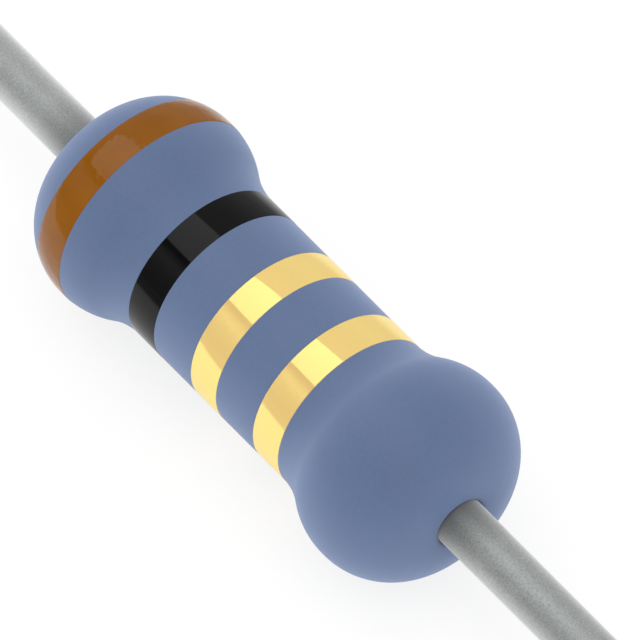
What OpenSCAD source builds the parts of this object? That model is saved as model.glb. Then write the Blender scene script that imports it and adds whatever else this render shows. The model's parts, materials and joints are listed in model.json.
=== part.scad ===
// Axial-lead film resistor. A ceramic rod carries a resistive film that is
// trimmed by a helical groove. A pressed cap closes each end of the rod, a
// wire is butt welded to each cap, and a lacquer body with two end bulges
// covers the rod, the caps and the welds. Four painted bands are let into
// the lacquer. Lengths are in millimetres. The wires run along X and the
// part lies on its two bulges at z = 0.

/* [Ceramic rod] */
// Diameter of the rod
core_d = 1.62; // [1.5:0.01:1.8]
// Length of the rod
core_len = 4.8; // [4.5:0.05:5.4]
// Chamfer at each end of the rod
core_chamfer = 0.08; // [0.05:0.01:0.12]

/* [Resistive film] */
// Thickness of the film sleeve
film_t = 0.03; // [0.02:0.005:0.04]
// Turns of the helical trim groove
trim_turns = 3; // [2:0.5:4]
// Length of rod that the groove winds along
trim_span = 2.4; // [1.8:0.1:2.8]
// Width of the groove, measured along the rod
trim_gap = 0.12; // [0.08:0.01:0.2]

/* [End caps] */
// Thickness of the sheet that the caps are drawn from
cap_wall = 0.14; // [0.11:0.01:0.16]
// Length of a cap from its closed face to its rim
cap_len = 0.95; // [0.8:0.01:1]
// Outer radius where the side of a cap turns into its closed face
cap_corner = 0.18; // [0.18:0.01:0.24]

/* [Wire leads] */
// Diameter of the wire
lead_d = 0.55; // [0.5:0.01:0.6]
// Length of wire that stands out of the body at each end
lead_len = 28; // [20:1:38]
// Radius of the bead round the butt weld
weld_bead = 0.11; // [0.08:0.01:0.14]
// Diameter that the weld upsets the wire to, beside the bead
upset_d = 0.59; // [0.57:0.01:0.65]
// From the end of the body to where the wire has its own diameter
upset_runout = 0.06; // [0.05:0.01:0.1]
// Chamfer that the cut leaves at the tip of the wire
tip_chamfer = 0.03; // [0.02:0.01:0.05]

/* [Lacquer body] */
// Lacquer over the film, along the waist
coat_on_film = 0.105; // [0.09:0.005:0.13]
// Lacquer over the caps, at the top of each bulge
coat_on_cap = 0.22; // [0.2:0.01:0.25]
// Lacquer from the closed face of a cap to the end of the body
end_cover = 0.42; // [0.38:0.01:0.46]
// Radius from the top of a bulge round to the end of the body
end_round = 0.84; // [0.78:0.01:0.9]
// From the rim of a cap to where the top of its bulge starts
rim_lap = 0.5; // [0.45:0.01:0.53]
// Radius from the top of a bulge down towards the waist
shoulder_round = 0.88; // [0.7:0.01:1.1]
// Radius of the fillet between a shoulder and the waist
waist_fillet = 0.9; // [0.6:0.01:1.1]

/* [Colour bands] */
// Width of each band
band_w = 0.405; // [0.3:0.005:0.5]
// Distance between the middles of the three bands on the waist
band_pitch = 1; // [0.8:0.01:1.1]
// From the end of the body to the outer edge of the band on the bulge
end_band_inset = 0.55; // [0.5:0.01:0.65]
// Thickness of the paint
band_t = 0.02; // [0.015:0.001:0.03]
// How far the paint stands above the lacquer beside it
band_proud = 0.002; // [0.001:0.001:0.006]

/* [Hidden] */
$fn = 96;

core_r = core_d / 2;
film_r = core_r + film_t;
cap_r = film_r + cap_wall;
waist_r = film_r + coat_on_film;
bulge_r = cap_r + coat_on_cap;
lead_r = lead_d / 2;
upset_r = upset_d / 2;
axis_z = bulge_r + band_proud;

// Stations along the axis, from the middle of the body outwards
seat_x = core_len / 2;
face_x = seat_x + cap_wall;
rim_x = face_x - cap_len;
end_x = face_x + end_cover;
crest_x = end_x - end_round;
shoulder_x = min(rim_x + rim_lap, crest_x);
tip_x = end_x + lead_len;

// The shoulder and the fillet meet where both lean at this angle
lean = acos(1 - (bulge_r - waist_r) / (shoulder_round + waist_fillet));
fillet_x = shoulder_x - (shoulder_round + waist_fillet) * sin(lean);

// Points on an arc in the [radius, station] plane. The angle is counted from
// straight outwards and turns towards the end of the part. A small round
// takes fewer points. An arc that goes on from another one leaves out its
// first point.
function arc(r, x, rad, from, to, first = 0) =
    let (n = ceil(abs(to - from) / (rad < 0.3 ? 15 : 5)))
    [for (i = [first:n]) let (a = from + (to - from) * i / n) [r + rad * cos(a), x + rad * sin(a)]];

// Half of the outline of the body, moved outwards by grow. Waist fillet,
// shoulder, flat top if there is one, then the round end.
function half_outline(grow) = concat(
    arc(waist_r + waist_fillet, fillet_x, waist_fillet - grow, 180, 180 - lean),
    arc(bulge_r - shoulder_round, shoulder_x, shoulder_round + grow, -lean, 0, 1),
    arc(bulge_r - end_round, crest_x, end_round + grow, 0, 90, crest_x > shoulder_x + 0.001 ? 0 : 1)
);

// The whole outline, closed along the axis
module body_outline(grow = 0) {
    half = half_outline(grow);
    last = len(half) - 1;
    polygon(concat(
        [[0, -end_x - grow]],
        [for (i = [0:last]) [half[last - i][0], -half[last - i][1]]],
        half,
        [[0, end_x + grow]]
    ));
}

// Section of a drawn cap, solid through: what the lacquer has to clear
module cap_outline() {
    polygon(concat(
        [[0, rim_x], [cap_r, rim_x]],
        arc(cap_r - cap_corner, face_x - cap_corner, cap_corner, 0, 90),
        [[0, face_x]]
    ));
}

// Section of the space inside a cap
module cap_bore() {
    inner = cap_corner - cap_wall;
    polygon(concat(
        [[0, rim_x - cap_wall], [film_r, rim_x - cap_wall]],
        arc(film_r - inner, seat_x - inner, inner, 0, 90),
        [[0, seat_x]]
    ));
}

// Section of a wire: the weld bead at the cap, the upset that runs out just
// outside the body, the plain wire and its cut tip
module lead_outline() {
    polygon(concat(
        [[0, face_x]],
        arc(upset_r, face_x, weld_bead, 0, 90),
        [
            [lead_r, end_x + upset_runout], [lead_r, tip_x - tip_chamfer],
            [lead_r - tip_chamfer, tip_x], [0, tip_x]
        ]
    ));
}

// Section of a band round the body between two stations
module band_outline(from, to) {
    intersection() {
        difference() {
            body_outline(band_proud);
            body_outline(band_proud - band_t);
        }
        translate([0, from]) square([bulge_r + 1, to - from]);
    }
}

module first_digit_outline() {
    band_outline(end_band_inset - end_x, end_band_inset + band_w - end_x);
}

// Bands on the waist are counted from the middle of the body
module waist_band_outline(place) {
    band_outline(place * band_pitch - band_w / 2, place * band_pitch + band_w / 2);
}

// Turns a section about the wire axis
module spin() {
    translate([0, 0, axis_z]) rotate([0, 90, 0]) rotate_extrude() children();
}

// Tool of square section that winds round the rod, open to the outside
module trim_groove() {
    steps = 36 * trim_turns;
    low = core_r - film_t;
    high = film_r + film_t;
    corners = [[low, -0.5], [high, -0.5], [high, 0.5], [low, 0.5]];
    points = [
        for (i = [0:steps]) for (c = corners)
            [c[0] * cos(10 * i), c[0] * sin(10 * i), trim_span * (i / steps - 0.5) + trim_gap * c[1]]
    ];
    sides = [
        for (i = [0:steps - 1]) for (k = [0:3])
            let (a = 4 * i + k, b = 4 * i + (k + 1) % 4)
            each [[a, b, b + 4], [a, b + 4, a + 4]]
    ];
    last = 4 * steps;
    polyhedron(points, concat([[3, 2, 1, 0]], sides, [[last, last + 1, last + 2, last + 3]]));
}

module ceramic_core() {
    color("#e9e4d8") spin() polygon([
        [0, -seat_x], [core_r - core_chamfer, -seat_x], [core_r, core_chamfer - seat_x],
        [core_r, seat_x - core_chamfer], [core_r - core_chamfer, seat_x], [0, seat_x]
    ]);
}

module resistive_film() {
    half = seat_x - core_chamfer;
    color("#4b4d55") difference() {
        spin() translate([core_r, -half]) square([film_t, 2 * half]);
        translate([0, 0, axis_z]) rotate([0, 90, 0]) trim_groove();
    }
}

module end_cap() {
    spin() difference() {
        cap_outline();
        cap_bore();
    }
}

module end_cap_right() {
    color("#a9a49a") end_cap();
}

module end_cap_left() {
    color("#a9a49a") mirror([1, 0, 0]) end_cap();
}

module lead_right() {
    color("#b9babc") spin() lead_outline();
}

module lead_left() {
    color("#b9babc") mirror([1, 0, 0]) spin() lead_outline();
}

module coating() {
    color("#71809c") spin() difference() {
        body_outline();
        translate([0, -rim_x]) square([film_r, 2 * rim_x]);
        for (s = [0, 1]) mirror([0, s]) {
            cap_outline();
            lead_outline();
        }
        first_digit_outline();
        for (place = [-1, 0, 1]) waist_band_outline(place);
    }
}

module first_digit_band() {
    color("#8a5320") spin() first_digit_outline();
}

module second_digit_band() {
    color("#161719") spin() waist_band_outline(-1);
}

module multiplier_band() {
    color("#d9a94a") spin() waist_band_outline(0);
}

module tolerance_band() {
    color("#d9a94a") spin() waist_band_outline(1);
}

ceramic_core();
resistive_film();
end_cap_left();
end_cap_right();
lead_left();
lead_right();
coating();
first_digit_band();
second_digit_band();
multiplier_band();
tolerance_band();
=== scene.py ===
"""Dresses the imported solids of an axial-lead film resistor.

The lacquer body, the four painted bands and the two wires are turned finer
than the solids they stand for. The rod, the film and the caps keep their
solids and get the finish of what they are made of. Lengths are in metres, the
wires run along X and the part lies on its two bulges at z = 0.
"""

import json
import math

import bmesh
import bpy
from bpy.props import FloatProperty, FloatVectorProperty, IntProperty, PointerProperty
from mathutils import Matrix, Vector

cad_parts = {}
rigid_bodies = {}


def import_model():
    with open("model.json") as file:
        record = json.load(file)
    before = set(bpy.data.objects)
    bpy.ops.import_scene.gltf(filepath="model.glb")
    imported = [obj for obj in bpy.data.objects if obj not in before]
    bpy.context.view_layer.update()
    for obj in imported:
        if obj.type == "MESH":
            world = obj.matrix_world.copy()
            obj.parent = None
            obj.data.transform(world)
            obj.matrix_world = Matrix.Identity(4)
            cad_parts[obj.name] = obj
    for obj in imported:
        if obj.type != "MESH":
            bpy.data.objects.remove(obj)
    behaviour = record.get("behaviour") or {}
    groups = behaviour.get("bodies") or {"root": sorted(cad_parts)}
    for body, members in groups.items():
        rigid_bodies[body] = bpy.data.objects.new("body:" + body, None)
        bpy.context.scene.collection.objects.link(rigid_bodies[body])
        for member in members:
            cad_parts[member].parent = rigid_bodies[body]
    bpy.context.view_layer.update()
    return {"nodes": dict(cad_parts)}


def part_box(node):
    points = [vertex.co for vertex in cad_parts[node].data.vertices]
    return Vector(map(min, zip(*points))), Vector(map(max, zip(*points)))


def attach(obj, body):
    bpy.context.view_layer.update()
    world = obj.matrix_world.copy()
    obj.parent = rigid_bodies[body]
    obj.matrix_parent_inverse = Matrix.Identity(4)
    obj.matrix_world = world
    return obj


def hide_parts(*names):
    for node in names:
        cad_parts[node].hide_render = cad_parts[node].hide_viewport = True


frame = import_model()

bl_info = {
    "name": "Axial film resistor",
    "version": (1, 0, 0),
    "blender": (4, 5, 0),
    "location": "3D View > Sidebar > Resistor",
    "description": "Lacquer body, painted bands and tinned wires of an axial film resistor",
    "category": "Add Mesh",
}

MM = 0.001

# Points of a section that are nearer to each other than this are one point
TOUCHING = 1e-8
# The most that an arc turns in one step, and the steps of an arc too small to need more
ARC_STEP = math.radians(2.5)
SMALL_ARC = 0.1 * MM
SMALL_ARC_STEPS = 6
# Where most of a noise lies, between 0 and 1
NOISE_RANGE = (0.3, 0.7)


def box_size(node):
    """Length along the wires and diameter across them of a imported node."""
    low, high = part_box(node)
    return high.x - low.x, high.y - low.y


def linear(code):
    """An sRGB colour written as hex digits, as linear red, green and blue."""
    parts = (int(code[i:i + 2], 16) / 255 for i in (0, 2, 4))
    return tuple(c / 12.92 if c <= 0.04045 else ((c + 0.055) / 1.055) ** 2.4 for c in parts)


# Sizes and colours that a user would change

def length(name, description, default):
    """A length in metres."""
    return FloatProperty(
        name=name, description=description, default=default, min=0.0, unit="LENGTH", precision=6
    )


def colour(name, description, code):
    """A colour, from its sRGB hex digits."""
    return FloatVectorProperty(
        name=name, description=description, default=linear(code), min=0.0, max=1.0, size=3, subtype="COLOR"
    )


class ResistorSizes(bpy.types.PropertyGroup):
    body_length: length(
        "Body length", "Length of the lacquer body between its round ends", box_size("coating")[0]
    )
    bulge_diameter: length("Bulge diameter", "Diameter over the bulge at each cap", 2.4 * MM)
    waist_diameter: length("Waist diameter", "Diameter of the body between the bulges", 1.89 * MM)
    end_round: length("End round", "Radius from the top of a bulge round to the end of the body", 0.84 * MM)
    shoulder_station: length("Shoulder station", "From the body's middle to the top of a bulge", 2.09 * MM)
    shoulder_round: length("Shoulder round", "Radius from the top of a bulge towards the waist", 0.88 * MM)
    waist_fillet: length("Waist fillet", "Radius between a shoulder and the waist", 0.9 * MM)
    lip_round: length("Lip round", "Radius of the lacquer's edge round each wire", 0.05 * MM)
    film_diameter: length("Film diameter", "Diameter over the resistive film", 1.68 * MM)
    cap_diameter: length("Cap diameter", "Outer diameter of the end caps", 1.96 * MM)
    cap_length: length(
        "Cap length", "Length of a cap from its closed face to its rim", box_size("end_cap_right")[0]
    )
    cap_corner: length("Cap corner", "Outer radius between the side and the face of a cap", 0.18 * MM)
    cap_face: length("Cap face", "From the middle of the body to the closed face of a cap", 2.54 * MM)
    band_width: length("Band width", "Width of each painted band", box_size("multiplier_band")[0])
    band_pitch: length("Band pitch", "Distance between the bands on the waist", 1.0 * MM)
    end_band_inset: length("End band inset", "From the end of the body to the band on the bulge", 0.55 * MM)
    band_depth: length("Band depth", "How deep the paint is let into the lacquer", 0.018 * MM)
    band_proud: length("Band proud", "How far the paint stands above the lacquer", 0.002 * MM)
    band_edge: length("Band edge", "Radius of the edge of the paint", 0.006 * MM)
    wire_diameter: length("Wire diameter", "Diameter of the plain wire", 0.55 * MM)
    upset_diameter: length("Upset diameter", "Diameter that the weld upsets the wire to", 0.59 * MM)
    upset_runout: length("Upset runout", "Length over which the upset runs out to plain wire", 0.06 * MM)
    weld_bead: length("Weld bead", "Radius of the bead where a wire meets its cap", 0.11 * MM)
    wire_tip: length(
        "Wire tip", "From the middle of the body to the cut tip of a wire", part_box("lead_right")[1].x
    )
    tip_chamfer: length("Tip chamfer", "Chamfer that the cut leaves at the tip", 0.03 * MM)
    around: IntProperty(
        name="Facets around", description="Facets round the body", default=192, min=48, max=256
    )


class ResistorColours(bpy.types.PropertyGroup):
    lacquer: colour("Lacquer", "Blue-grey dip lacquer", "4b5c7d")
    brown_paint: colour("Brown paint", "First digit, one", "804c0a")
    black_paint: colour("Black paint", "Second digit, nought", "080809")
    gold_flakes: colour("Gold flakes", "Multiplier and tolerance, bronze flakes in the paint", "ffdb8c")
    gold_level: colour("Gold level", "Multiplier and tolerance, levelled surface of the paint", "ffff96")
    tin: colour("Tin", "Hot-dipped tin on the copper wires", "a5a9a7")
    alumina: colour("Alumina", "Fired ceramic rod", "ece7da")
    film: colour("Film", "Sputtered nickel-chromium film", "6b6761")
    cap_steel: colour("Cap steel", "Tin-plated pressed steel caps", "b9b5ab")
    floor: colour("Floor", "Pale sweep that the part lies on", "fcfcfb")


class StageSettings(bpy.types.PropertyGroup):
    azimuth: FloatProperty(
        name="Azimuth", description="Camera angle round the part",
        default=math.radians(51.63), subtype="ANGLE"
    )
    elevation: FloatProperty(
        name="Elevation", description="Camera angle above the floor",
        default=math.radians(52.35), subtype="ANGLE"
    )
    picture_width: length("Picture width", "Width of what the camera sees", 6.406 * MM)
    shift_right: length("Shift right", "The camera's aim, right of the middle of the body", 0.4267 * MM)
    shift_up: length("Shift up", "The camera's aim, above the middle of the body", 0.1915 * MM)
    softbox_height: length("Softbox height", "Height of the softbox above the floor", 0.3)
    softbox_glow: FloatProperty(
        name="Softbox glow", description="Radiance of the softbox", default=1.1, min=0.0
    )
    world_glow: FloatProperty(
        name="World glow", description="How strong the soft light from all round is", default=1.0, min=0.0
    )


# Shapes, each drawn as a section and turned about the wire axis

def line_to(bm, vert, x, r):
    """Draws a straight line of a section to station x at radius r."""
    if math.hypot(vert.co.x - x, vert.co.z - r) < TOUCHING:
        return vert
    new = bmesh.ops.extrude_vert_indiv(bm, verts=[vert])["verts"][0]
    new.co = (x, 0, r)
    return new


def arc_about(bm, vert, x, r, turn):
    """Draws an arc of a section about a centre. A positive turn goes from straight outwards towards +X."""
    steps = max(2, math.ceil(abs(turn) / ARC_STEP))
    if math.hypot(vert.co.x - x, vert.co.z - r) < SMALL_ARC:
        steps = SMALL_ARC_STEPS
    drawn = bmesh.ops.spin(bm, geom=[vert], cent=(x, 0, r), axis=(0, 1, 0), angle=turn, steps=steps)
    return next(v for v in drawn["geom_last"] if isinstance(v, bmesh.types.BMVert))


def body_arcs(s):
    """The arcs of the body's outline from -X to +X.

    Each is its centre's station and radius, its own radius, its first and last
    angle, and 1 where the body bulges or -1 where it is hollow.
    """
    bulge, waist = s.bulge_diameter / 2, s.waist_diameter / 2
    both = s.shoulder_round + s.waist_fillet
    lean = math.acos(1 - (bulge - waist) / both)
    crest = s.body_length / 2 - s.end_round
    fillet = s.shoulder_station - both * math.sin(lean)
    half = [
        (fillet, waist + s.waist_fillet, s.waist_fillet, math.pi, math.pi - lean, -1),
        (s.shoulder_station, bulge - s.shoulder_round, s.shoulder_round, -lean, 0, 1),
        (crest, bulge - s.end_round, s.end_round, 0, math.pi / 2, 1),
    ]
    mirrored = []
    for x, r, radius, first, last, way in reversed(half):
        whole = 0 if way > 0 else math.tau
        mirrored.append((-x, r, radius, whole - last, whole - first, way))
    return mirrored + half


def angle_at(arc, grow, x):
    """The angle on an arc, moved outwards by grow, at station x."""
    lean = math.asin(max(-1.0, min(1.0, (x - arc[0]) / (arc[2] + arc[5] * grow))))
    return lean if arc[5] > 0 else math.pi - lean


def body_radius(s, grow, x):
    """The radius of the body's outline, moved outwards by grow, at station x."""
    flat = None
    for arc in body_arcs(s):
        radius = arc[2] + arc[5] * grow
        starts, ends = (arc[0] + radius * math.sin(a) for a in arc[3:5])
        if x < starts:
            return arc[1] + radius * math.cos(arc[3]) if flat is None else flat
        if x <= ends:
            return arc[1] + radius * math.cos(angle_at(arc, grow, x))
        flat = arc[1] + radius * math.cos(arc[4])
    return flat


def follow_body(bm, vert, s, grow, start, stop):
    """Draws the body's outline, moved outwards by grow, from one station to another."""
    vert = line_to(bm, vert, start, body_radius(s, grow, start))
    for arc in body_arcs(s):
        x, r, radius = arc[0], arc[1], arc[2] + arc[5] * grow
        first, last = arc[3], arc[4]
        if x + radius * math.sin(last) <= start or x + radius * math.sin(first) >= stop:
            continue
        if x + radius * math.sin(first) < start:
            first = angle_at(arc, grow, start)
        if x + radius * math.sin(last) > stop:
            last = angle_at(arc, grow, stop)
        vert = line_to(bm, vert, x + radius * math.sin(first), r + radius * math.cos(first))
        vert = arc_about(bm, vert, x, r, last - first)
    return line_to(bm, vert, stop, body_radius(s, grow, stop))


def band_stations(s):
    """Where the four bands start and stop, from -X to +X."""
    outer = s.end_band_inset - s.body_length / 2
    half = s.band_width / 2
    middles = [place * s.band_pitch for place in (-1, 0, 1)]
    return [(outer, outer + s.band_width)] + [(middle - half, middle + half) for middle in middles]


def turned(bm, facets):
    """Turns the drawn section about the wire axis into a closed shell."""
    bmesh.ops.remove_doubles(bm, verts=bm.verts, dist=TOUCHING)
    bmesh.ops.spin(
        bm, geom=bm.verts[:] + bm.edges[:], cent=(0, 0, 0), axis=(1, 0, 0), angle=math.tau, steps=facets,
        use_merge=True,
    )
    bmesh.ops.remove_doubles(bm, verts=bm.verts, dist=TOUCHING)
    bmesh.ops.recalc_face_normals(bm, faces=bm.faces)


def finished(bm, name, material, node, sharp=35):
    """Lifts the shell to the wire axis of a node and makes it the piece that stands for that node.

    Edges that turn by more than sharp degrees stay sharp.
    """
    low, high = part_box(node)
    bmesh.ops.translate(bm, verts=bm.verts, vec=(0, 0, (low.z + high.z) / 2))
    old = bpy.data.objects.get(name)
    if old is not None:
        bpy.data.objects.remove(old)
    mesh = bpy.data.meshes.new(name)
    bm.to_mesh(mesh)
    bm.free()
    mesh.shade_smooth()
    mesh.set_sharp_from_angle(angle=math.radians(sharp))
    mesh.materials.append(material)
    piece = bpy.data.objects.new(name, mesh)
    bpy.context.scene.collection.objects.link(piece)
    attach(piece, "root")
    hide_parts(node)
    return piece


def lacquer_section(s):
    """Section of the lacquer: outside with its four band seats, then the space for caps, film and welds."""
    bm = bmesh.new()
    end, upset, wire, lip = s.body_length / 2, s.upset_diameter / 2, s.wire_diameter / 2, s.lip_round
    cap, film, corner = s.cap_diameter / 2, s.film_diameter / 2, s.cap_corner
    face, rim, bead = s.cap_face, s.cap_face - s.cap_length, s.weld_bead
    vert = bmesh.ops.create_vert(bm, co=(lip - end, 0, wire))["vert"][0]
    vert = arc_about(bm, vert, lip - end, wire + lip, math.pi / 2)
    reached = -end
    for start, stop in band_stations(s):
        vert = follow_body(bm, vert, s, 0, reached, start)
        vert = follow_body(bm, vert, s, -s.band_depth, start, stop)
        reached = stop
    vert = follow_body(bm, vert, s, 0, reached, end)
    vert = line_to(bm, vert, end, wire + lip)
    vert = arc_about(bm, vert, end - lip, wire + lip, math.pi / 2)
    for side in (1, -1):
        if side > 0:
            vert = line_to(bm, vert, end - lip - s.upset_runout, upset)
            vert = line_to(bm, vert, face + bead, upset)
            vert = arc_about(bm, vert, face, upset, -math.pi / 2)
            vert = line_to(bm, vert, face, cap - corner)
            vert = arc_about(bm, vert, face - corner, cap - corner, -math.pi / 2)
            vert = line_to(bm, vert, rim, cap)
            vert = line_to(bm, vert, rim, film)
        else:
            vert = line_to(bm, vert, -rim, film)
            vert = line_to(bm, vert, -rim, cap)
            vert = line_to(bm, vert, corner - face, cap)
            vert = arc_about(bm, vert, corner - face, cap - corner, -math.pi / 2)
            vert = line_to(bm, vert, -face, upset + bead)
            vert = arc_about(bm, vert, -face, upset, -math.pi / 2)
            vert = line_to(bm, vert, lip + s.upset_runout - end, upset)
    line_to(bm, vert, lip - end, wire)
    return bm


def band_section(s, start, stop):
    """Section of one painted band: its face, then its underside."""
    bm = bmesh.new()
    first = bmesh.ops.create_vert(bm, co=(start, 0, body_radius(s, -s.band_depth, start)))["vert"][0]
    vert = follow_body(bm, first, s, s.band_proud, start, stop)
    line_to(bm, vert, stop, body_radius(s, -s.band_depth, stop))
    follow_body(bm, first, s, -s.band_depth, start, stop)
    return bm


def wire_section(s):
    """Section of the wire on +X.

    It has the weld bead, the upset that runs out behind the lacquer's edge, the
    plain wire and the cut tip.
    """
    bm = bmesh.new()
    face, upset, wire = s.cap_face, s.upset_diameter / 2, s.wire_diameter / 2
    vert = bmesh.ops.create_vert(bm, co=(face, 0, 0))["vert"][0]
    vert = line_to(bm, vert, face, upset + s.weld_bead)
    vert = arc_about(bm, vert, face, upset, math.pi / 2)
    edge = s.body_length / 2 - s.lip_round
    for x, r in (
        (edge - s.upset_runout, upset),
        (edge, wire),
        (s.wire_tip - s.tip_chamfer, wire),
        (s.wire_tip, wire - s.tip_chamfer),
        (s.wire_tip, 0),
    ):
        vert = line_to(bm, vert, x, r)
    return bm


# Materials, each named for what the real one is and how it was made

def put(tree, kind, settings=None, inputs=None, give=None):
    """Adds a node and gives its output.

    Settings are its options, and an input takes a value or another output.
    """
    node = tree.nodes.new("ShaderNode" + kind)
    for name, value in (settings or {}).items():
        if name == "stops":
            ramp = node.color_ramp
            while len(ramp.elements) < len(value):
                ramp.elements.new(0.5)
            for element, (position, tint) in zip(ramp.elements, value):
                element.position, element.color = position, tint
        else:
            setattr(node, name, value)
    for name, value in (inputs or {}).items():
        if isinstance(name, int):
            socket = node.inputs[name]
        else:
            socket = next(i for i in node.inputs if i.name == name and i.enabled)
        if isinstance(value, bpy.types.NodeSocket):
            tree.links.new(value, socket)
        else:
            socket.default_value = value
    return next((o for o in node.outputs if o.enabled and give in (None, o.name)), None)


def started(name):
    """An emptied material of that name, its tree, and the place on the part, in metres."""
    material = bpy.data.materials.get(name) or bpy.data.materials.new(name)
    material.use_nodes = True
    tree = material.node_tree
    tree.nodes.clear()
    return material, tree, put(tree, "TexCoord", give="Object")


def grain(tree, place, size, detail=2.0, rough=0.5, stretch=(1, 1, 1)):
    """Noise whose cells are size metres wide, or as many times longer as stretch says."""
    spot = put(tree, "Mapping", inputs={"Vector": place, "Scale": [1 / (size * k) for k in stretch]})
    noise = {"Vector": spot, "Scale": 1.0, "Detail": detail, "Roughness": rough}
    return put(tree, "TexNoise", inputs=noise, give="Fac")


def between(tree, value, low, high, start=NOISE_RANGE[0], stop=NOISE_RANGE[1]):
    """Goes from low to high while the value, a noise or a place, goes from start to stop."""
    ends = {"From Min": start, "From Max": stop, "To Min": low, "To Max": high}
    return put(tree, "MapRange", inputs={"Value": value, **ends})


def tinted(tree, noise, rgb, dark, light):
    """A colour that goes from dark to light times itself with the noise."""
    levels = zip(NOISE_RANGE, (dark, light))
    stops = [(at, tuple(min(1.0, c * k) for c in rgb) + (1.0,)) for at, k in levels]
    return put(tree, "ValToRGB", {"stops": stops}, {"Fac": noise})


def blended(tree, way, share, a, b):
    """Two colours mixed or multiplied."""
    return put(tree, "Mix", {"data_type": "RGBA", "blend_type": way}, {"Factor": share, "A": a, "B": b})


def bumped(tree, height, strength, depth):
    """The surface's normal, made uneven by a height that is depth metres at most."""
    return put(tree, "Bump", inputs={"Height": height, "Strength": strength, "Distance": depth})


def sealed(tree, shader):
    """Takes the finished shader to the material's output."""
    put(tree, "OutputMaterial", inputs={"Surface": shader})


def dip_lacquer(rgb):
    """Pigmented epoxy lacquer, dipped and baked.

    It gives the eye an even satin skin with a fine orange-peel grain and slow
    changes of thickness, a soft glow towards the edges and no sharp reflection.
    """
    material, tree, place = started("dip_lacquer")
    # The real grain is about 0.01 mm wide, which is too fine to show, so it is drawn 0.035 mm wide
    slow, fine = grain(tree, place, 0.8 * MM), grain(tree, place, 0.035 * MM, 3.0, 0.6)
    thickness, peel = tinted(tree, slow, rgb, 0.97, 1.03), tinted(tree, fine, (1, 1, 1), 0.9, 1.0)
    sealed(tree, put(tree, "BsdfPrincipled", inputs={
        "Base Color": blended(tree, "MULTIPLY", 1.0, thickness, peel),
        "Roughness": between(tree, fine, 0.44, 0.54),
        "IOR": 1.5,
        "Specular IOR Level": 0.3,
        "Sheen Weight": 0.41,
        "Sheen Roughness": 0.7,
        "Sheen Tint": (0.52, 0.66, 1.0, 1.0),
        "Normal": bumped(tree, fine, 0.35, 0.002 * MM),
    }))
    return material


def band_enamel(name, rgb, ripple, shine):
    """Enamel rolled on wet and levelled.

    It gives the eye a smooth glossy film that mirrors the softbox with clear
    edges. Ripple is how far its thickness goes up and down where it ran.
    """
    material, tree, place = started(name)
    # Real pigment is a few thousandths of a millimetre wide, too fine to show, so it is 0.045 mm wide
    slow, wave, fine = (grain(tree, place, size * MM) for size in (0.3, 0.13, 0.045))
    sealed(tree, put(tree, "BsdfPrincipled", inputs={
        "Base Color": tinted(tree, slow, rgb, 0.94, 1.06),
        "Roughness": between(tree, fine, 0.05, 0.09),
        "IOR": 1.5,
        "Specular IOR Level": shine,
        "Normal": bumped(tree, wave, 1.0, ripple),
    }))
    return material


def gold_enamel(flake, surface):
    """Bronze-powder paint: flakes in a clear binder that has levelled.

    The flakes lie every way and give the eye a broad golden glow, and a third
    of what it sees is the level surface, which mirrors the studio in yellow.
    """
    material, tree, place = started("gold_enamel")
    # Real flakes are 0.01 to 0.02 mm wide, which is too fine to show, so they are drawn 0.033 mm wide
    fine = grain(tree, place, 0.033 * MM)
    flakes = put(tree, "BsdfPrincipled", inputs={
        "Base Color": tinted(tree, fine, flake, 0.97, 1.0),
        "Metallic": 0.35,
        "Roughness": between(tree, fine, 0.72, 0.8),
    })
    level = put(tree, "BsdfPrincipled", inputs={
        "Base Color": tinted(tree, fine, surface, 0.97, 1.0),
        "Metallic": 1.0,
        "Roughness": between(tree, fine, 0.03, 0.06),
    })
    level_share = 0.33
    sealed(tree, put(tree, "MixShader", inputs={0: level_share, 1: flakes, 2: level}))
    return material


def tinned_wire(rgb, end):
    """Drawn copper wire, hot-dipped in tin. End is the station of the body's end.

    It gives the eye a matt grey metal with frosted crystals a few hundredths of
    a millimetre wide and faint draw marks along the wire. Next to the body the
    colour is darker: painted shade that stands in for the shade the body casts on the wire.
    """
    material, tree, place = started("tinned_wire")
    frost, slow = grain(tree, place, 0.022 * MM, 3.0, 0.65), grain(tree, place, 0.25 * MM, 3.0)
    # Real draw marks are about 0.01 mm wide, which is too fine to show, so they are drawn 0.06 mm wide
    drawn = grain(tree, place, 0.06 * MM, 2.0, 0.5, (16, 1, 1))
    height = put(tree, "Math", {"operation": "ADD"}, {0: frost, 1: between(tree, drawn, 0.0, 0.3)})
    station = put(tree, "SeparateXYZ", inputs={"Vector": place}, give="X")
    along = put(tree, "Math", {"operation": "ABSOLUTE"}, {0: station})
    # Painted shade: at the body's end the tin's colour is darkened to 0.3 of itself and comes back to full
    # over this length, in place of the body's shade on the wire
    painted_shade_length = 0.64 * MM
    painted_shade = between(tree, along, 0.3, 1.0, end, end + painted_shade_length)
    crystals, patches = tinted(tree, frost, rgb, 0.66, 1.26), tinted(tree, slow, (1, 1, 1), 0.92, 1.0)
    unshaded_tin = blended(tree, "MULTIPLY", 1.0, crystals, patches)
    sealed(tree, put(tree, "BsdfPrincipled", inputs={
        "Base Color": put(tree, "VectorMath", {"operation": "SCALE"}, {0: unshaded_tin, "Scale": painted_shade}),
        "Metallic": 0.85,
        "Roughness": between(tree, frost, 0.46, 0.6),
        "Sheen Weight": 0.88,
        "Sheen Roughness": 0.62,
        "Normal": bumped(tree, height, 0.5, 0.004 * MM),
    }))
    return material


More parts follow.
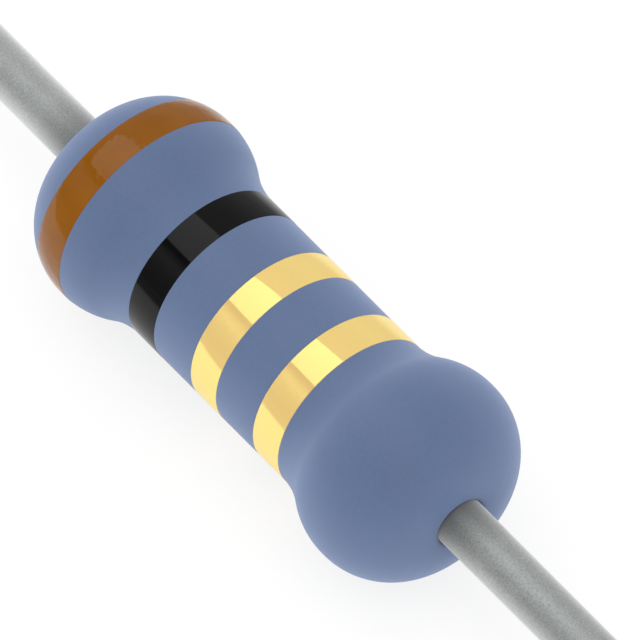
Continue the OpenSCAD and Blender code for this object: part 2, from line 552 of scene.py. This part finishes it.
def fired_alumina(rgb):
    """Pressed and fired alumina.

    It gives the eye a chalk-white ceramic with a sugary grain and slightly
    greyer patches.
    """
    material, tree, place = started("fired_alumina")
    # Real grains are a few thousandths of a millimetre wide, too fine to show, so these are 0.025 mm wide
    sugar, slow = grain(tree, place, 0.025 * MM, 3.0), grain(tree, place, 0.3 * MM)
    grains, patches = tinted(tree, sugar, rgb, 0.93, 1.0), tinted(tree, slow, (1, 1, 1), 0.96, 1.0)
    sealed(tree, put(tree, "BsdfPrincipled", inputs={
        "Base Color": blended(tree, "MULTIPLY", 1.0, grains, patches),
        "Roughness": between(tree, sugar, 0.68, 0.82),
        "IOR": 1.76,
        "Normal": bumped(tree, sugar, 0.4, 0.003 * MM),
    }))
    return material


def sputtered_film(rgb):
    """Nickel-chromium sputtered on the ceramic.

    It gives the eye a dark grey metal that follows the ceramic's grain, a
    little browner where it was laid thinner.
    """
    material, tree, place = started("sputtered_film")
    # The grain is the ceramic's, drawn as coarse as there
    sugar, slow = grain(tree, place, 0.025 * MM, 3.0), grain(tree, place, 0.7 * MM)
    warm = (rgb[0] * 1.1, rgb[1] * 0.98, rgb[2] * 0.85)
    thick, thin = tinted(tree, sugar, rgb, 0.9, 1.0), tinted(tree, sugar, warm, 0.9, 1.0)
    sealed(tree, put(tree, "BsdfPrincipled", inputs={
        "Base Color": blended(tree, "MIX", slow, thick, thin),
        "Metallic": 1.0,
        "Roughness": between(tree, sugar, 0.36, 0.5),
        "Normal": bumped(tree, sugar, 0.4, 0.002 * MM),
    }))
    return material


def pressed_steel(rgb):
    """Deep-drawn steel, barrel-plated with tin.

    It gives the eye a soft grey metal with drawing marks along its side.
    """
    material, tree, place = started("pressed_steel")
    # Real drawing marks are about 0.01 mm wide, which is too fine to show, so they are drawn 0.05 mm wide
    drawn, slow = grain(tree, place, 0.05 * MM, 2.0, 0.5, (12, 1, 1)), grain(tree, place, 0.2 * MM)
    sealed(tree, put(tree, "BsdfPrincipled", inputs={
        "Base Color": tinted(tree, slow, rgb, 0.9, 1.05),
        "Metallic": 1.0,
        "Roughness": between(tree, drawn, 0.28, 0.4),
        "Normal": bumped(tree, drawn, 0.4, 0.002 * MM),
    }))
    return material


def pale_sweep(rgb):
    """Matt white card.

    The open card shows as white, and it keeps the part's shadow. In what the
    paint mirrors, the card shows a painted pool of light, a glow that stops in
    front of the part and dies away behind it.
    """
    material, tree, place = started("pale_sweep")
    # How much of the card shows as plain white. The rest shows the light on it, and so the shadow.
    white_share = 0.8
    # From where to where, in front of the part and behind it, the painted pool of light on the card dies
    # away
    front_edge, front_lit = -8.8 * MM, -6.4 * MM
    rear_lit, rear_edge, rear_rest = 2.8 * MM, 9.0 * MM, 0.3
    card = put(tree, "BsdfPrincipled", inputs={
        "Base Color": tinted(tree, grain(tree, place, 0.2 * MM), rgb, 0.99, 1.0),
        "Roughness": 0.95,
        "Specular IOR Level": 0.0,
    })
    seen = put(tree, "LightPath", give="Is Camera Ray")
    for ray in ("Is Glossy Ray", "Is Transmission Ray"):
        seen = put(tree, "Math", {"operation": "MAXIMUM"}, {0: seen, 1: put(tree, "LightPath", give=ray)})
    depth = put(tree, "SeparateXYZ", inputs={"Vector": place}, give="Y")
    # Painted pool of light: glossy rays see the card glow at full strength between the lit stations, fading
    # to nothing in front of the part and to rear_rest behind it
    front = between(tree, depth, 0.0, 1.0, front_edge, front_lit)
    rear = between(tree, depth, 1.0, rear_rest, rear_lit, rear_edge)
    painted_pool = put(tree, "Math", {"operation": "MULTIPLY"}, {0: front, 1: rear})
    mirrored = put(tree, "LightPath", give="Is Glossy Ray")
    painted_glow = put(tree, "Mix", {"data_type": "FLOAT"}, {"Factor": mirrored, "A": 1.0, "B": painted_pool})
    backdrop_and_painted_pool = put(tree, "Emission", inputs={"Color": (1, 1, 1, 1), "Strength": painted_glow})
    share = put(tree, "Math", {"operation": "MULTIPLY"}, {0: seen, 1: white_share})
    sealed(tree, put(tree, "MixShader", inputs={0: share, 1: card, 2: backdrop_and_painted_pool}))
    return material


def settings():
    """The sizes, the colours and the stage as they are set now."""
    scene = bpy.context.scene
    return scene.resistor_sizes, scene.resistor_colours, scene.resistor_stage


def dress(nodes, material):
    """Gives solids of the frame that stay in view their finish."""
    for node in nodes:
        slots = frame["nodes"][node].data.materials
        slots.clear()
        slots.append(material)


# Operators, one for each piece or group of like pieces and one for the stage

class RESISTOR_OT_inner_parts(bpy.types.Operator):
    """Give the ceramic rod, the trimmed film and the pressed caps their finish"""

    bl_idname = "resistor.inner_parts"
    bl_label = "Rod, film and caps"
    bl_options = {"REGISTER", "UNDO"}

    def execute(self, context):
        colours = settings()[1]
        dress(["ceramic_core"], fired_alumina(colours.alumina))
        dress(["resistive_film"], sputtered_film(colours.film))
        dress(["end_cap_left", "end_cap_right"], pressed_steel(colours.cap_steel))
        return {"FINISHED"}


class RESISTOR_OT_wires(bpy.types.Operator):
    """Turn the two tinned wires with their weld beads"""

    bl_idname = "resistor.wires"
    bl_label = "Tinned wires"
    bl_options = {"REGISTER", "UNDO"}

    def execute(self, context):
        sizes, colours, _ = settings()
        metal = tinned_wire(colours.tin, sizes.body_length / 2)
        for side in ("right", "left"):
            bm = wire_section(sizes)
            turned(bm, sizes.around // 2)
            if side == "left":
                half_turn = Matrix.Rotation(math.pi, 3, "Z")
                bmesh.ops.rotate(bm, verts=bm.verts, cent=(0, 0, 0), matrix=half_turn)
            finished(bm, "wire_" + side, metal, "lead_" + side)
        return {"FINISHED"}


class RESISTOR_OT_lacquer(bpy.types.Operator):
    """Turn the lacquer body with its end bulges and band seats"""

    bl_idname = "resistor.lacquer"
    bl_label = "Lacquer body"
    bl_options = {"REGISTER", "UNDO"}

    def execute(self, context):
        sizes, colours, _ = settings()
        bm = lacquer_section(sizes)
        turned(bm, sizes.around)
        finished(bm, "lacquer_body", dip_lacquer(colours.lacquer), "coating")
        return {"FINISHED"}


class RESISTOR_OT_bands(bpy.types.Operator):
    """Turn the four painted bands of the colour code"""

    bl_idname = "resistor.bands"
    bl_label = "Colour bands"
    bl_options = {"REGISTER", "UNDO"}

    def execute(self, context):
        sizes, colours, _ = settings()
        brown = band_enamel("brown_enamel", colours.brown_paint, 0.006 * MM, 0.31)
        black = band_enamel("black_enamel", colours.black_paint, 0.0, 0.25)
        gold = gold_enamel(colours.gold_flakes, colours.gold_level)
        paints = [
            ("first_digit", "brown_paint", brown),
            ("second_digit", "black_paint", black),
            ("multiplier", "gold_paint", gold),
            ("tolerance", "gold_paint", gold),
        ]
        half_depth = 0.5 * sizes.band_depth
        for (start, stop), (name, slot, paint) in zip(band_stations(sizes), paints):
            bm = band_section(sizes, start, stop)
            turned(bm, sizes.around)
            # The rims are the outer circles at the two ends of the band
            rims = [
                e for e in bm.edges
                if all(min(abs(v.co.x - start), abs(v.co.x - stop)) < TOUCHING for v in e.verts)
                and abs(e.verts[0].co.x - e.verts[1].co.x) < TOUCHING
                and all(v.co.yz.length > body_radius(sizes, 0, v.co.x) - half_depth for v in e.verts)
            ]
            if not rims:
                raise RuntimeError(f"band {name} has no rim to round")
            bmesh.ops.bevel(
                bm, geom=rims, offset=sizes.band_edge, offset_type="OFFSET", segments=3, profile=0.5,
                affect="EDGES", material=-1,
            )
            bmesh.ops.recalc_face_normals(bm, faces=bm.faces)
            finished(bm, name + "_paint", paint, name + "_band", 60)
        return {"FINISHED"}


class RESISTOR_OT_stage(bpy.types.Operator):
    """Set the part on a pale floor under a softbox, with a camera at the photograph's angle"""

    bl_idname = "resistor.stage"
    bl_label = "Floor, light and camera"
    bl_options = {"REGISTER", "UNDO"}

    def execute(self, context):
        _, colours, stage = settings()
        scene = bpy.context.scene
        place = scene.collection.objects

        floor_radius = 0.8
        bm = bmesh.new()
        bmesh.ops.create_circle(bm, cap_ends=True, radius=floor_radius, segments=96)
        mesh = bpy.data.meshes.new("floor")
        bm.to_mesh(mesh)
        bm.free()
        mesh.materials.append(pale_sweep(colours.floor))
        floor = bpy.data.objects.new("floor", mesh)
        place.link(floor)

        # The softbox hangs over the part and a little in front of it. Its two long edges are the ones that
        # the bands mirror.
        height = stage.softbox_height
        rear, front, half = 0.212 * height, -0.664 * height, 1.5 * height
        lamp = bpy.data.lights.new("softbox", "AREA")
        lamp.shape = "RECTANGLE"
        lamp.size, lamp.size_y = 2 * half, rear - front
        lamp.energy = stage.softbox_glow * math.pi * lamp.size * lamp.size_y
        softbox = bpy.data.objects.new("softbox", lamp)
        softbox.location = (0, (rear + front) / 2, height)
        place.link(softbox)

        # The world lights the part softly, from the sides more than from above. The part mirrors a dim wall
        # behind it and a dark room in front of it, with a pale strip under the softbox's front edge.
        world = bpy.data.worlds.new("studio")
        world.use_nodes = True
        scene.world = world
        tree = world.node_tree
        tree.nodes.clear()
        way = put(tree, "TexCoord", give="Generated")
        up, back = (put(tree, "SeparateXYZ", inputs={"Vector": way}, give=name) for name in "ZY")
        turn = put(tree, "Math", {"operation": "ARCTAN2"}, {0: up, 1: back})
        share = put(tree, "MapRange", inputs={"Value": turn, "From Min": 0.0, "From Max": math.pi})
        # Greys of the room from the foot of the rear wall, 0, over the roof to that of the front wall, 1
        greys = [
            (0.0, 0.46), (0.12, 0.5), (0.26, 0.4), (0.42, 0.4), (0.69, 0.06), (0.715, 0.07),
            (0.765, 0.43), (0.79, 0.5), (0.86, 0.3), (0.9, 0.24), (1.0, 0.17),
        ]
        walls = put(tree, "ValToRGB", {"stops": [(p, (g, g, g, 1.0)) for p, g in greys]}, {"Fac": share})
        height_up = put(tree, "Math", {"operation": "ABSOLUTE"}, {0: up})
        side_level, roof_level = 1.55, 0.55
        sides, roof = ((stage.world_glow * level,) * 3 + (1.0,) for level in (side_level, roof_level))
        even = blended(tree, "MIX", height_up, sides, roof)
        seen = blended(tree, "MIX", put(tree, "LightPath", give="Is Glossy Ray"), even, walls)
        glow = put(tree, "Background", inputs={"Color": seen, "Strength": 1.0})
        put(tree, "OutputWorld", inputs={"Surface": glow})

        # The camera stands 50 mm from the point that it looks at
        camera_distance = 0.05
        a, e = stage.azimuth, stage.elevation
        back_way = Vector((math.sin(a) * math.cos(e), -math.cos(a) * math.cos(e), math.sin(e)))
        aimed = (-back_way).to_track_quat("-Z", "Y")
        low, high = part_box("coating")
        aim = (low + high) / 2 + aimed @ Vector((stage.shift_right, stage.shift_up, 0))
        view = bpy.data.cameras.new("camera")
        view.type = "ORTHO"
        view.ortho_scale = stage.picture_width
        view.clip_start, view.clip_end = 0.001, 2.0
        camera = bpy.data.objects.new("camera", view)
        camera.rotation_mode = "QUATERNION"
        camera.rotation_quaternion = aimed
        camera.location = aim + back_way * camera_distance
        place.link(camera)
        scene.camera = camera
        scene.view_settings.view_transform = "Standard"
        return {"FINISHED"}


class RESISTOR_PT_sidebar(bpy.types.Panel):
    bl_idname = "RESISTOR_PT_sidebar"
    bl_label = "Axial film resistor"
    bl_space_type = "VIEW_3D"
    bl_region_type = "UI"
    bl_category = "Resistor"

    def draw(self, context):
        for group in settings():
            box = self.layout.box()
            for name in group.__annotations__:
                box.prop(group, name)
        for operator in STEPS:
            self.layout.operator(operator.bl_idname)


STEPS = (
    RESISTOR_OT_inner_parts, RESISTOR_OT_wires, RESISTOR_OT_lacquer, RESISTOR_OT_bands, RESISTOR_OT_stage,
)
CLASSES = (ResistorSizes, ResistorColours, StageSettings, *STEPS, RESISTOR_PT_sidebar)


def register():
    for cls in CLASSES:
        bpy.utils.register_class(cls)
    bpy.types.Scene.resistor_sizes = PointerProperty(type=ResistorSizes)
    bpy.types.Scene.resistor_colours = PointerProperty(type=ResistorColours)
    bpy.types.Scene.resistor_stage = PointerProperty(type=StageSettings)


def unregister():
    for name in ("resistor_sizes", "resistor_colours", "resistor_stage"):
        delattr(bpy.types.Scene, name)
    for cls in reversed(CLASSES):
        bpy.utils.unregister_class(cls)


def main():
    register()
    bpy.ops.resistor.inner_parts()
    bpy.ops.resistor.wires()
    bpy.ops.resistor.lacquer()
    bpy.ops.resistor.bands()
    bpy.ops.resistor.stage()


if __name__ == "__main__":
    main()
